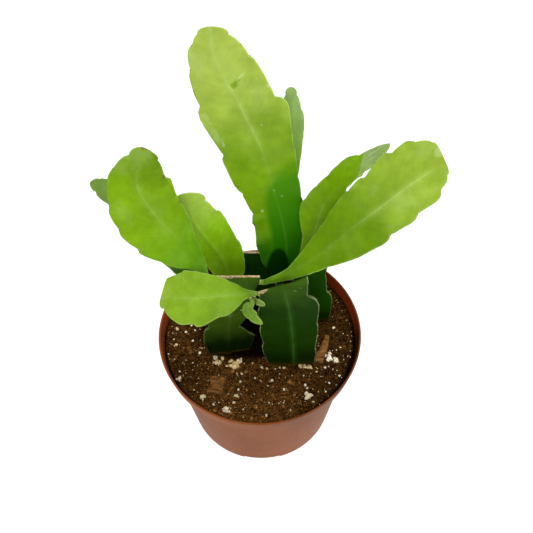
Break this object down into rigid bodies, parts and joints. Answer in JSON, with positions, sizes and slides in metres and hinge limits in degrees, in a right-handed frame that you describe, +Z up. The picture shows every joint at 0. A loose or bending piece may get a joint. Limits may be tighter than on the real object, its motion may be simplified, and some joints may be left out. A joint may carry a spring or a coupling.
{
  "type": "potted queen of the night cactus",
  "caption": "Small potted epiphytic cactus: flat leaf-like stems with crenate edges growing from dark cuttings that stand in soil, in a round plastic nursery pot.",
  "frame": {"origin": "middle of the flat disc under the pot, on the surface that the pot stands on", "axes": "+Z up along the pot's axis, -Y towards the plant's front, +X to the right seen from the front"},
  "size_m": [0.1693, 0.12, 0.2621],
  "materials": {
    "pot": "matte",
    "soil": "matte",
    "cutting": "satin",
    "shoot": "satin",
    "blue_shoot": "satin"
  },
  "bodies": {
    "root": {"pot": "pot", "soil": "soil", "cutting_front": "cutting", "cutting_left": "cutting", "cutting_back": "cutting", "cutting_right": "cutting", "shoot_tall": "shoot", "shoot_tall_behind": "blue_shoot", "shoot_right_long": "shoot", "shoot_right_upper": "shoot", "shoot_left_large": "shoot", "shoot_left_behind": "blue_shoot", "shoot_left_inner": "shoot", "shoot_low_left": "shoot", "shoot_small_hanging": "shoot", "sprout_tiny": "shoot"}
  },
  "joints": []
}
